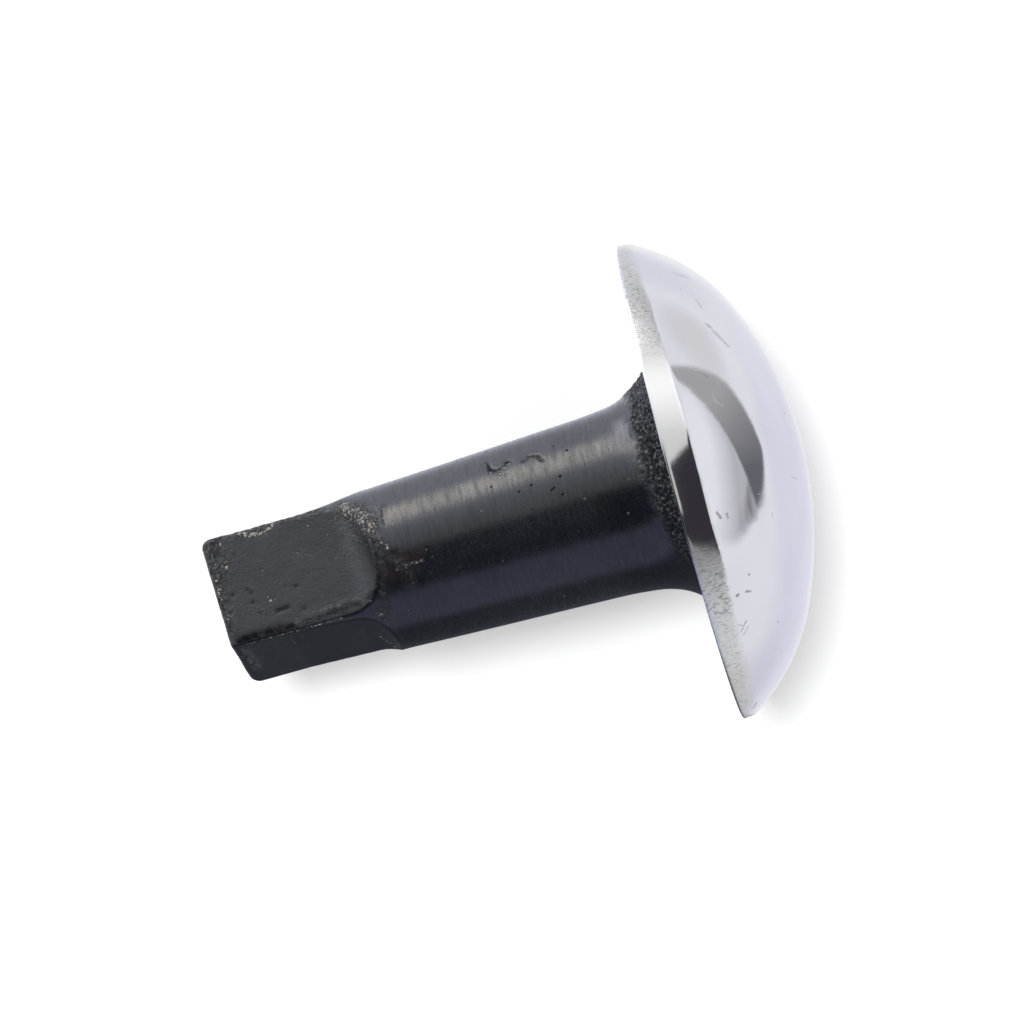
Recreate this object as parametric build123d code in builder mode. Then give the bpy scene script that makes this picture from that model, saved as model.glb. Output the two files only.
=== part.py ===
"""Mushroom dome stake: a polished steel dome on a black enamelled stem with a square tang.

Three pieces, as they come off the bench before welding: the turned dome head, the stem whose
spigot seats in the head's blind socket, and the fillet weld bead that joins them at the root.

Millimetres. The origin is the centre of the tang's end face and +Z runs up the stem's axis to
the dome's crown, so the stake stands as it does in a stake holder. The tang's flats face
-Y, +X, +Y and -X.
"""

from build123d import *
import math
import os

# ---------------------------------------------------------------- driving sizes: dome head
HEAD_DIAMETER = 73.6
RIM_HEIGHT = 1.8  # straight ground band round the edge of the dome
RIM_EDGE_RADIUS = 0.8  # broken lower edge of the band
DOME_RISE = 17.3  # from the band's top edge to the crown
CROWN_RADIUS = 56.0  # the flatter middle of the dome
CROWN_WIDTH = 48.0  # diameter where the crown blends into the tighter flank

# ---------------------------------------------------------------- driving sizes: stem
STEM_LENGTH = 72.0  # tang end to the shoulder that seats on the head's underside
STEM_FOOT_DIAMETER = 24.7  # round stock that the tang is milled from
STEM_ROOT_DIAMETER = 27.8  # at the weld, where the stem meets the head
TAPER_START = 26.0  # height at which the round begins to widen
TANG_ACROSS_FLATS = 18.5  # runs freely in a 3/4 in (19.05 mm) square hole
TANG_FLAT_LENGTH = 13.0  # straight part of each flat
RUN_OUT_RADIUS = 26.0  # cutter radius where each flat leaves the round
TANG_END_RADIUS = 1.2  # rounding of the tang's end

# ---------------------------------------------------------------- driving sizes: joint
SPIGOT_DIAMETER = 16.0
SPIGOT_LENGTH = 9.0
SPIGOT_CHAMFER = 0.8
SPIGOT_CLEARANCE = 0.03  # radial, for a light tap fit before welding
SOCKET_END_GAP = 0.5  # trapped air space over the spigot
SOCKET_CHAMFER = 0.6
WELD_LEG_ON_STEM = 8.5
WELD_LEG_ON_HEAD = 4.9
WELD_TOE_HEIGHT = 0.2  # step where the bead's edge stands proud of the stem
WELD_HOLLOW_RADIUS = 12.0  # the bead's concave face

# ---------------------------------------------------------------- worked-out sizes
head_radius = HEAD_DIAMETER / 2
stem_foot_radius = STEM_FOOT_DIAMETER / 2
stem_root_radius = STEM_ROOT_DIAMETER / 2
spigot_radius = SPIGOT_DIAMETER / 2
flat_distance = TANG_ACROSS_FLATS / 2
underside_height = STEM_LENGTH  # the stem's shoulder carries the head
crease_height = underside_height + RIM_HEIGHT
crown_height = crease_height + DOME_RISE
weld_toe_height = underside_height - WELD_LEG_ON_STEM  # the stem runs parallel above this


def crown_blend_point():
    """Where the crown's arc hands over to the flank's arc, as (radius, height)."""
    radius = CROWN_WIDTH / 2
    drop = CROWN_RADIUS - math.sqrt(CROWN_RADIUS**2 - radius**2)
    return radius, crown_height - drop


def crown_blend_slope():
    """The crown's direction at the blend point, running outward and down."""
    angle = math.asin(CROWN_WIDTH / 2 / CROWN_RADIUS)
    return math.cos(angle), -math.sin(angle)


def make_dome_head():
    """Turned head: crown and flank arcs in one smooth curve, ground band, blind socket."""
    blend = crown_blend_point()
    socket_depth = SPIGOT_LENGTH + SOCKET_END_GAP
    with BuildPart() as dome_head:
        with BuildSketch(Plane.XZ) as half_section:
            with BuildLine():
                crown = RadiusArc((0, crown_height), blend, CROWN_RADIUS)
                flank = TangentArc(blend, (head_radius, crease_height), tangent=crown_blend_slope())
                Polyline(flank @ 1, (head_radius, underside_height), (0, underside_height), crown @ 0)
            make_face()
        revolve(axis=Axis.Z)
        underside = dome_head.faces().filter_by(GeomType.PLANE).sort_by(Axis.Z)[0]
        fillet(underside.outer_wire().edges(), radius=RIM_EDGE_RADIUS)
        with BuildSketch(Plane.XY.offset(underside_height)) as socket_mouth:
            Circle(spigot_radius + SPIGOT_CLEARANCE)
        extrude(amount=socket_depth, mode=Mode.SUBTRACT)
        underside = dome_head.faces().filter_by(GeomType.PLANE).sort_by(Axis.Z)[0]
        chamfer(underside.inner_wires().edges(), length=SOCKET_CHAMFER)
    dome_head.part.label = "dome_head"
    return dome_head


def make_flat_cutter():
    """Milling cut for one flat of the tang: a straight cut that runs out along the cutter's arc."""
    overrun = stem_foot_radius  # clear of the stem on every outer side
    with BuildPart() as flat_cutter:
        with BuildSketch(Plane.XZ) as cut_section:
            with BuildLine():
                wall = Line((flat_distance, -overrun), (flat_distance, TANG_FLAT_LENGTH))
                run_out = CenterArc(
                    (flat_distance + RUN_OUT_RADIUS, TANG_FLAT_LENGTH), RUN_OUT_RADIUS, 180, -90
                )
                Polyline(run_out @ 1, (flat_distance + RUN_OUT_RADIUS, -overrun), wall @ 0)
            make_face()
        extrude(amount=stem_foot_radius + overrun, both=True)
    return flat_cutter


def make_stem():
    """Turned stem with a spigot, milled to a square tang with rounded corners at its foot."""
    spigot_top = underside_height + SPIGOT_LENGTH
    flat_cutter = make_flat_cutter()
    with BuildPart() as stem:
        with BuildSketch(Plane.XZ) as half_section:
            with BuildLine():
                Polyline(
                    (0, 0),
                    (stem_foot_radius, 0),
                    (stem_foot_radius, TAPER_START),
                    (stem_root_radius, weld_toe_height),
                    (stem_root_radius, underside_height),
                    (spigot_radius, underside_height),
                    (spigot_radius, spigot_top),
                    (0, spigot_top),
                    close=True,
                )
            make_face()
        revolve(axis=Axis.Z)
        spigot_end = stem.faces().filter_by(GeomType.PLANE).sort_by(Axis.Z)[-1]
        chamfer(spigot_end.edges(), length=SPIGOT_CHAMFER)
        with PolarLocations(0, 4):
            add(flat_cutter.part, mode=Mode.SUBTRACT)
        tang_end = stem.faces().filter_by(GeomType.PLANE).sort_by(Axis.Z)[0]
        fillet(tang_end.edges(), radius=TANG_END_RADIUS)
    stem.part.label = "stem"
    return stem


def make_root_weld():
    """Fillet weld bead in the corner between the stem and the head's underside, hollow-faced."""
    toe_on_stem = (stem_root_radius + WELD_TOE_HEIGHT, weld_toe_height)
    toe_on_head = (stem_root_radius + WELD_LEG_ON_HEAD, underside_height)
    with BuildPart() as root_weld:
        with BuildSketch(Plane.XZ) as bead_section:
            with BuildLine():
                face = RadiusArc(toe_on_stem, toe_on_head, WELD_HOLLOW_RADIUS)
                Polyline(
                    face @ 1,
                    (stem_root_radius, underside_height),
                    (stem_root_radius, weld_toe_height),
                    face @ 0,
                )
            make_face()
        revolve(axis=Axis.Z)
    root_weld.part.label = "root_weld"
    return root_weld


def write_parts(pieces):
    """Write each piece to its own STEP file, named for its label."""
    os.makedirs("parts", exist_ok=True)
    for piece in pieces:
        export_step(piece.part, f"parts/{piece.part.label}.step")


write_parts([make_dome_head(), make_stem(), make_root_weld()])
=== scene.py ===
"""Looks of a mushroom dome stake: mirror-polished head, black enamelled stem, coarse weld bead.

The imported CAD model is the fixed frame. Each of its three pieces is replaced by a denser mesh of
the same sizes that also carries what the workshop left on it: the hand-ground band round the dome,
the worn corner of the tang, the weld's ripples, dents and chipped paint. Lengths are worked in
millimetres in the row frame and turned to metres when a mesh is written.
"""

import logging
import math
from dataclasses import dataclass, field
from enum import Enum, IntEnum
from typing import Any, Optional, Sequence

import bpy
import numpy as np
from mathutils import Matrix, Vector, noise


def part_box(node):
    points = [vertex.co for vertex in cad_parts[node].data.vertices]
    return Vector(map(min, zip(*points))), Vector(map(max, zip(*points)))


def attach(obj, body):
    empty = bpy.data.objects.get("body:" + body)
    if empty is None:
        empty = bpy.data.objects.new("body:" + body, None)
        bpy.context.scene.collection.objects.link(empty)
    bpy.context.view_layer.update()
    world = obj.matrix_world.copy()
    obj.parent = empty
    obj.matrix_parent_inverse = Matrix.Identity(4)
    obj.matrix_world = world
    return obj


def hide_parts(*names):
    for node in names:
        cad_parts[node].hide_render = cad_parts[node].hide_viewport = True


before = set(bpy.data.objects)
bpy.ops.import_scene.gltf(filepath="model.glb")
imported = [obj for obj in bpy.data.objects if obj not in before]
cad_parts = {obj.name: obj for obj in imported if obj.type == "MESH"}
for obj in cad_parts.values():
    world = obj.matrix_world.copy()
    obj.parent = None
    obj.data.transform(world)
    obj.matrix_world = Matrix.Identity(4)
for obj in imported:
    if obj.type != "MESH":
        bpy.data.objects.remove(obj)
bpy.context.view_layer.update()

MM = 0.001
FULL_TURN = 2 * math.pi

Tree = bpy.types.NodeTree
Socket = bpy.types.NodeSocket

log = logging.getLogger("stake")


# ------------------------------------------------------------------------------ small helpers
def linear(hex_colour: str) -> tuple[float, float, float, float]:
    """Turn an sRGB hex colour into linear RGBA.

    Args:
        hex_colour: Six hex digits, such as "1B1C20".

    Returns:
        Linear red, green, blue and an alpha of 1.
    """
    parts = [int(hex_colour[i : i + 2], 16) / 255 for i in (0, 2, 4)]
    red, green, blue = [c / 12.92 if c <= 0.04045 else ((c + 0.055) / 1.055) ** 2.4 for c in parts]
    return red, green, blue, 1.0


def smooth_step(value: np.ndarray, low: float, high: float) -> np.ndarray:
    """Ease from 0 at low to 1 at high, with flat ends; low may be the larger of the two."""
    share = np.clip((value - low) / (high - low), 0.0, 1.0)
    return share * share * (3 - 2 * share)


def lumps(points: np.ndarray, size_mm: float | Sequence[float], seed: float = 0.0) -> np.ndarray:
    """Smooth noise over points, about -1 to 1.

    Args:
        points: Array of places in millimetres, with x, y and z last.
        size_mm: How far apart the lumps are, one number or one for each axis.
        seed: Moves the pattern, so that two calls don't line up.

    Returns:
        One value for each point, in the shape of points without its last axis.
    """
    scaled = (points / np.asarray(size_mm, float)).reshape(-1, 3) + seed
    values = (noise.noise(Vector(p)) for p in scaled)
    return np.fromiter(values, float, len(scaled)).reshape(points.shape[:-1])


Layer = tuple[float, float | tuple[float, float, float], float]  # height, size and seed of lumps


def layered(points: np.ndarray, layers: Sequence[Layer]) -> np.ndarray:
    """Sum of several layers of lumps over points, in the heights' unit."""
    return sum(height * lumps(points, size, seed) for height, size, seed in layers)


def angle_gap(angle: np.ndarray, centre_deg: float) -> np.ndarray:
    """Signed gap in degrees between angles in radians and a centre in degrees."""
    return (np.degrees(angle) - centre_deg + 180) % 360 - 180


def compass(direction_deg: float) -> np.ndarray:
    """Level unit vector in a direction, in degrees round the axis from +X."""
    turn = math.radians(direction_deg)
    return np.array([math.cos(turn), math.sin(turn), 0.0])


def reach_towards(points: np.ndarray, direction_deg: float) -> np.ndarray:
    """How far out each point lies in a level direction, in degrees from +X."""
    way = compass(direction_deg)
    return points[..., 0] * way[0] + points[..., 1] * way[1]


def add_node(
    tree: Tree, kind: str, inputs: Optional[dict[str | int, Any]] = None, **settings: Any
) -> bpy.types.Node:
    """Add one node, set its properties, then fill or link its inputs.

    Args:
        tree: Node tree that takes the node.
        kind: Blender's name for the kind of node, without its "ShaderNode".
        inputs: Socket name or number, to a value or to the output socket that feeds it.
        **settings: Properties of the node, such as operation="ADD".

    Returns:
        The new node.
    """
    node = tree.nodes.new("ShaderNode" + kind)
    for name, value in settings.items():
        setattr(node, name, value)
    for key, value in (inputs or {}).items():
        if isinstance(value, Socket):
            tree.links.new(value, node.inputs[key])
        else:
            node.inputs[key].default_value = value
    return node


def new_material(name: str) -> tuple[bpy.types.Material, Tree]:
    """Make an empty node material.

    Args:
        name: The material's name.

    Returns:
        The material and its emptied node tree.
    """
    material = bpy.data.materials.new(name)
    material.use_nodes = True
    material.node_tree.nodes.clear()
    return material, material.node_tree


class Ends(Enum):
    """How a stack of rings is closed."""

    POLES = "poles"  # the first and last ring shrink to one point each
    LOOP = "loop"  # the last ring joins the first, as on a torus


def skin_rings(
    name: str, rings: np.ndarray, ends: Ends, attributes: Optional[dict[str, np.ndarray]] = None
) -> bpy.types.Object:
    """Skin a stack of rings with quads, smooth shaded.

    Args:
        name: Name of the object and its mesh.
        rings: Points in millimetres, shaped rings by segments by 3, anticlockwise seen from +Z.
        ends: Whether the stack ends in poles or loops back on itself.
        attributes: Per-point values to store on the mesh, shaped rings by segments.

    Returns:
        The new object, linked to the scene.
    """
    count, segments = rings.shape[:2]
    here = np.arange(segments)
    after = np.roll(here, -1)
    top = count if ends is Ends.LOOP else count - 1
    faces = []
    for row in range(top):
        low, high = row * segments, ((row + 1) % count) * segments
        faces += np.stack([low + here, low + after, high + after, high + here], 1).tolist()
    points = rings.reshape(-1, 3)
    values = {k: v.reshape(-1) for k, v in (attributes or {}).items()}
    if ends is Ends.POLES:
        first, last = len(points), len(points) + 1
        poles = np.stack([rings[0].mean(0), rings[-1].mean(0)])
        points = np.concatenate([points, poles])
        edge = (count - 1) * segments
        faces += [[first, b, a] for a, b in zip(here.tolist(), after.tolist())]
        faces += [[last, edge + a, edge + b] for a, b in zip(here.tolist(), after.tolist())]
        values = {k: np.concatenate([v, [v[0], v[-1]]]) for k, v in values.items()}
    mesh = bpy.data.meshes.new(name)
    mesh.from_pydata((points * MM).tolist(), [], faces)
    for key, value in values.items():
        layer = mesh.attributes.new(key, "FLOAT", "POINT")
        layer.data.foreach_set("value", np.ascontiguousarray(value, np.float32))
    mesh.shade_smooth()
    piece = bpy.data.objects.new(name, mesh)
    bpy.context.scene.collection.objects.link(piece)
    return piece


def around(radius: np.ndarray, height: np.ndarray, angle: np.ndarray) -> np.ndarray:
    """Points in millimetres from cylinder coordinates about the stem's axis."""
    return np.stack([radius * np.cos(angle), radius * np.sin(angle), height + 0 * angle], -1)


def outward(rings: np.ndarray) -> np.ndarray:
    """Unit normals of a stack of rings, pointing out of the body.

    Args:
        rings: Points, shaped rings by segments by 3, anticlockwise seen from +Z.

    Returns:
        One unit vector for each point, in the shape of rings.
    """
    along = np.gradient(rings, axis=0)
    across = np.roll(rings, -1, 1) - np.roll(rings, 1, 1)
    normal = np.cross(across, along)
    return normal / np.maximum(np.linalg.norm(normal, axis=-1, keepdims=True), 1e-9)


def arc_length(points: Sequence[tuple[float, float]], step: float) -> np.ndarray:
    """Resample a polyline at even distances.

    Args:
        points: Its (radius, height) corners, in millimetres.
        step: About how far apart the new points lie, in millimetres.

    Returns:
        The new (radius, height) rows, both ends included.
    """
    path = np.asarray(points, float)
    gone = np.concatenate([[0], np.cumsum(np.linalg.norm(np.diff(path, axis=0), axis=1))])
    at = np.linspace(0, gone[-1], max(2, int(round(gone[-1] / step)) + 1))
    return np.stack([np.interp(at, gone, path[:, i]) for i in (0, 1)], 1)


def bend(
    centre: tuple[float, float], radius: float, start_deg: float, end_deg: float, count: int = 9
) -> list[tuple[float, float]]:
    """Points of an arc in the (radius, height) plane, ends included."""
    turns = np.radians(np.linspace(start_deg, end_deg, count))
    return [(centre[0] + radius * math.cos(t), centre[1] + radius * math.sin(t)) for t in turns]


@dataclass(frozen=True)
class Mark:
    """A chip, pit, line or rough patch on a turned surface: a path with a soft width.

    Attributes:
        path: Points, each as degrees round the axis from +X and millimetres up the axis.
        width: Half width, in millimetres.
        strength: How strong it is along its middle, 1 for a full chip.
    """

    path: tuple[tuple[float, float], ...]
    width: float
    strength: float = 1.0

    def spread(self, angle: np.ndarray, radius: np.ndarray, height: np.ndarray) -> np.ndarray:
        """Bell-shaped weight of the mark over a surface.

        Args:
            angle: Direction of each point round the axis, in radians.
            radius: Its distance from the axis, in millimetres.
            height: Its height up the axis, in millimetres.

        Returns:
            The weight at each point, from 0 to the mark's strength.
        """
        nearest = np.full(np.broadcast(angle, radius, height).shape, np.inf)
        for start, end in zip(self.path, self.path[1:] or self.path):
            way_across = math.radians(end[0] - start[0]) * radius
            way_up = end[1] - start[1]
            across = np.radians(angle_gap(angle, start[0])) * radius
            up = height - start[1]
            length = np.maximum(way_across**2 + way_up**2, 1e-9)
            share = np.clip((across * way_across + up * way_up) / length, 0, 1)
            gap = (across - share * way_across) ** 2 + (up - share * way_up) ** 2
            nearest = np.minimum(nearest, gap)
        return self.strength * np.exp(-nearest / self.width**2)


def spots(width: float, strength: float, *places: tuple[float, float]) -> tuple[Mark, ...]:
    """Round marks of one width and strength, one at each place."""
    return tuple(Mark((place,), width, strength) for place in places)


def strongest(
    marks: Sequence[Mark], angle: np.ndarray, radius: np.ndarray, height: np.ndarray
) -> np.ndarray:
    """The largest weight of any of the marks at each point.

    Args:
        marks: Marks to lay over the surface.
        angle: Direction of each point round the axis, in radians.
        radius: Its distance from the axis, in millimetres.
        height: Its height up the axis, in millimetres.

    Returns:
        One weight for each point.
    """
    total = np.zeros(np.broadcast(angle, radius, height).shape)
    for mark in marks:
        total = np.maximum(total, mark.spread(angle, radius, height))
    return total


@dataclass(frozen=True)
class Scratch:
    """A fine line scored into or scuffed onto the polish, from one place on the dome to another.

    Attributes:
        start: (angle in degrees, radius in mm) of one end.
        end: The same for the other end.
        width: Width in millimetres.
        depth: How rough it is and how dark its painted shade is, 1 for a full score.
    """

    start: tuple[float, float]
    end: tuple[float, float]
    width: float = 0.22
    depth: float = 1.0


# ------------------------------------------------------------------------------ finishes
def sparse_dots(
    tree: Tree, place: Socket, spacing_mm: float, share: float,
    rim: tuple[float, float], most: float = 1.0,
) -> Socket:
    """Dots scattered over a finish, such as pinholes or settled dust.

    Args:
        tree: The material's node tree.
        place: Socket with the point's place, in metres.
        spacing_mm: About how far apart the dots could lie.
        share: Share of those places that has one.
        rim: Radius at which a dot starts to fade and at which it has gone, per spacing.
        most: Value in the middle of a dot.

    Returns:
        Socket with the value at each point, 0 between the dots.
    """
    cells = add_node(
        tree, "TexVoronoi", {"Vector": place, "Scale": 1 / (spacing_mm * MM), "Randomness": 1.0}
    )
    dot = add_node(
        tree, "MapRange",
        {"Value": cells.outputs["Distance"], "From Min": rim[1], "From Max": rim[0],
         "To Max": most},
    ).outputs["Result"]
    chosen = add_node(tree, "SeparateColor", {"Color": cells.outputs["Color"]}).outputs["Red"]
    rare = add_node(tree, "Math", {0: chosen, 1: 1 - share}, operation="GREATER_THAN").outputs[0]
    return add_node(tree, "Math", {0: dot, 1: rare}, operation="MULTIPLY").outputs[0]


@dataclass(frozen=True)
class PolishedSteel:
    """Carbon steel ground and buffed to a mirror, tinted cool as a painted reflection; hairlines, a
    few pits.

    The dome is buffed until it shows the room; the band round its edge is only ground. Where the
    mesh's "grit" runs high the band scatters the light and looks grey and speckled, with painted
    shade darkening the grit's pits; pits and dark scratches in the polish get the same painted
    shade.
    """

    # cool tint: a painted reflection of a lavender room
    buffed: str = "DBDBE4"
    ground: str = "CCCCCD"
    # pit: painted shade in the grit's pits, in pits and in the dark scratches
    pit: str = "7C7C80"
    cloudy: str = "F3F3F3"  # multiplies the steel where the polish is faintly cloudy
    buffed_roughness: float = 0.06
    ground_roughness: float = 0.10  # where the grinding was polished over
    gritty_roughness: float = 0.30  # where the grinding was left
    scored_roughness: float = 0.50  # inside a scratch or pit
    hairline_mm: float = 0.18  # spacing of the buffing hairlines, coarser than real to show
    ripple_mm: float = 1.1  # spacing of the buffing wheel's faint ripples
    cloud_mm: float = 9.0  # size of the patches that were buffed more and less
    grit_mm: float = 0.42  # spacing of the grinding grit's pits, coarser than real to show
    grit_squash: float = 0.55  # width of the grit's pits round the head, per height
    pit_spacing_mm: float = 2.6  # about how far apart pits in the polish could lie
    pit_share: float = 0.20  # share of those places that has one
    wander_mm: float = 0.35  # how far and how often a scratch's line wavers
    hairline_depth_um: float = 0.55
    ripple_depth_um: float = 5.0
    mark_depth_um: float = 8.0  # of scratches and pits
    grit_depth_um: float = 22.0
    grit_pit_shade: float = 0.65  # painted shade in the grit's pits, where the colour of a pit is 1
    cloudiness: float = 0.5  # most of the cloudy tint that shows

    def material(
        self, scratches: Sequence[tuple[Vector, Vector, float, float]],
        scuffs: Sequence[tuple[Vector, Vector, float, float]],
    ) -> bpy.types.Material:
        """Build the metal.

        Args:
            scratches: Start, end and width of each single scratch, seen from above and in metres,
                and its depth, 0 to 1.
            scuffs: The same of the marks that are rough without being dark.

        Returns:
            The material.
        """
        material, tree = new_material("steel_buffed_and_ground")
        place = add_node(tree, "TexCoord").outputs["Object"]
        band, gritty = (
            add_node(tree, "Attribute", attribute_name=name).outputs["Fac"]
            for name in ("band", "grit")
        )
        drawn = add_node(
            tree, "Mapping", {"Vector": place, "Scale": (1, 1, self.grit_squash)}
        ).outputs["Vector"]
        buffed = add_node(
            tree, "Mapping", {"Vector": place, "Rotation": (0.5, 0.3, 0.4), "Scale": (1, 0.06, 1)}
        ).outputs["Vector"]
        grit, cloud, hairs, ripples = (
            add_node(
                tree, "TexNoise",
                {"Vector": vector, "Scale": 1 / (size * MM), "Detail": detail, "Roughness": fine},
            ).outputs["Fac"]
            for vector, size, detail, fine in (
                (drawn, self.grit_mm, 3.0, 0.65), (place, self.cloud_mm, 2.0, 0.5),
                (buffed, self.hairline_mm, 2.0, 0.5), (buffed, self.ripple_mm, 2.0, 0.5),
            )
        )
        speckle = add_node(
            tree, "MapRange",
            {"Value": grit, "From Min": 0.51, "From Max": 0.64, "To Min": 0.0, "To Max": 1.0},
        ).outputs["Result"]
        patchy = add_node(
            tree, "MapRange",
            {"Value": cloud, "From Min": 0.35, "From Max": 0.60, "To Min": 0.35, "To Max": 1.0},
        ).outputs["Result"]
        pits = sparse_dots(tree, place, self.pit_spacing_mm, self.pit_share, (0.045, 0.075))
        scored, scuffed = (self._scored(tree, place, lines) for lines in (scratches, scuffs))
        marked = add_node(tree, "Math", {0: pits, 1: scored}, operation="MAXIMUM").outputs[0]
        rubbed = add_node(tree, "Math", {0: marked, 1: scuffed}, operation="MAXIMUM").outputs[0]

        uneven = add_node(
            tree, "MapRange",
            {"Value": cloud, "From Min": 0.30, "From Max": 0.70, "To Max": self.cloudiness},
        ).outputs["Result"]
        # Painted shade: the grit's pits, pits in the polish and the dark scratches go towards the
        # pit colour.
        dark = speckle
        for share in (patchy, gritty, self.grit_pit_shade):
            dark = add_node(tree, "Math", {0: dark, 1: share}, operation="MULTIPLY").outputs[0]
        dark = add_node(tree, "Math", {0: dark, 1: marked}, operation="MAXIMUM").outputs[0]
        colour: tuple | Socket = linear(self.buffed)
        for share, tint, blend in (
            (band, self.ground, "MIX"), (uneven, self.cloudy, "MULTIPLY"), (dark, self.pit, "MIX")
        ):
            colour = add_node(
                tree, "Mix", {0: share, 6: colour, 7: linear(tint)},
                data_type="RGBA", blend_type=blend,
            ).outputs[2]

        smudge = add_node(
            tree, "MapRange",
            {"Value": cloud, "From Min": 0.3, "From Max": 0.7,
             "To Min": self.buffed_roughness * 0.7, "To Max": self.buffed_roughness * 1.5},
        ).outputs["Result"]
        coarse = add_node(
            tree, "MapRange",
            {"Value": grit, "From Min": 0.35, "From Max": 0.7,
             "To Min": self.gritty_roughness * 0.7, "To Max": self.gritty_roughness * 1.4},
        ).outputs["Result"]
        roughness = smudge
        for share, other in (
            (band, self.ground_roughness), (gritty, coarse), (rubbed, self.scored_roughness)
        ):
            roughness = add_node(
                tree, "Mix", {0: share, 2: roughness, 3: other}, data_type="FLOAT"
            ).outputs[0]

        bitten = add_node(tree, "Math", {0: grit, 1: gritty}, operation="MULTIPLY").outputs[0]
        relief: float | Socket = 0.0
        for part, microns in (
            (hairs, self.hairline_depth_um), (ripples, self.ripple_depth_um),
            (marked, -self.mark_depth_um), (bitten, self.grit_depth_um),
        ):
            relief = add_node(
                tree, "Math", {0: part, 1: microns, 2: relief}, operation="MULTIPLY_ADD"
            ).outputs[0]
        bump = add_node(
            tree, "Bump", {"Height": relief, "Distance": 0.001 * MM, "Strength": 1.0}
        ).outputs["Normal"]

        shader = add_node(
            tree, "BsdfPrincipled",
            {"Base Color": colour, "Roughness": roughness, "Normal": bump, "Metallic": 1.0},
        )
        add_node(tree, "OutputMaterial", {"Surface": shader.outputs["BSDF"]})
        return material

    def _scored(
        self, tree: Tree, place: Socket, scratches: Sequence[tuple[Vector, Vector, float, float]]
    ) -> Socket | float:
        """How deep each point lies in one of the single scratches.

        Args:
            tree: The material's node tree.
            place: Socket with the point's place, in metres.
            scratches: Start, end, width and greatest depth of each, as in material().

        Returns:
            Socket with the depth, 0 to 1.
        """
        ragged = add_node(
            tree, "TexNoise", {"Vector": place, "Scale": 1 / (self.wander_mm * MM), "Detail": 2.0}
        )
        wander = add_node(
            tree, "VectorMath",
            {0: ragged.outputs["Color"], 1: (0.5, 0.5, 0.5)}, operation="SUBTRACT",
        ).outputs[0]
        wander = add_node(
            tree, "VectorMath", {0: wander, "Scale": self.wander_mm * MM}, operation="SCALE"
        ).outputs[0]
        place = add_node(tree, "VectorMath", {0: place, 1: wander}, operation="ADD").outputs[0]
        place = add_node(
            tree, "VectorMath", {0: place, 1: (1, 1, 0)}, operation="MULTIPLY"
        ).outputs[0]
        deepest: Socket | float = 0.0
        for start, end, width, most in scratches:
            way = end - start
            from_start = add_node(
                tree, "VectorMath", {0: place, 1: start}, operation="SUBTRACT"
            ).outputs[0]
            reach = add_node(
                tree, "VectorMath", {0: from_start, 1: way / way.length_squared},
                operation="DOT_PRODUCT",
            ).outputs["Value"]
            reach = add_node(tree, "Clamp", {"Value": reach}).outputs[0]
            nearest = add_node(
                tree, "VectorMath", {0: way, "Scale": reach}, operation="SCALE"
            ).outputs[0]
            gap = add_node(
                tree, "VectorMath", {0: from_start, 1: nearest}, operation="DISTANCE"
            ).outputs["Value"]
            depth = add_node(
                tree, "MapRange",
                {"Value": gap, "From Min": width * 0.7, "From Max": width * 0.25, "To Max": most},
            ).outputs["Result"]
            deepest = add_node(tree, "Math", {0: deepest, 1: depth}, operation="MAXIMUM").outputs[0]
        return deepest


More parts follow.
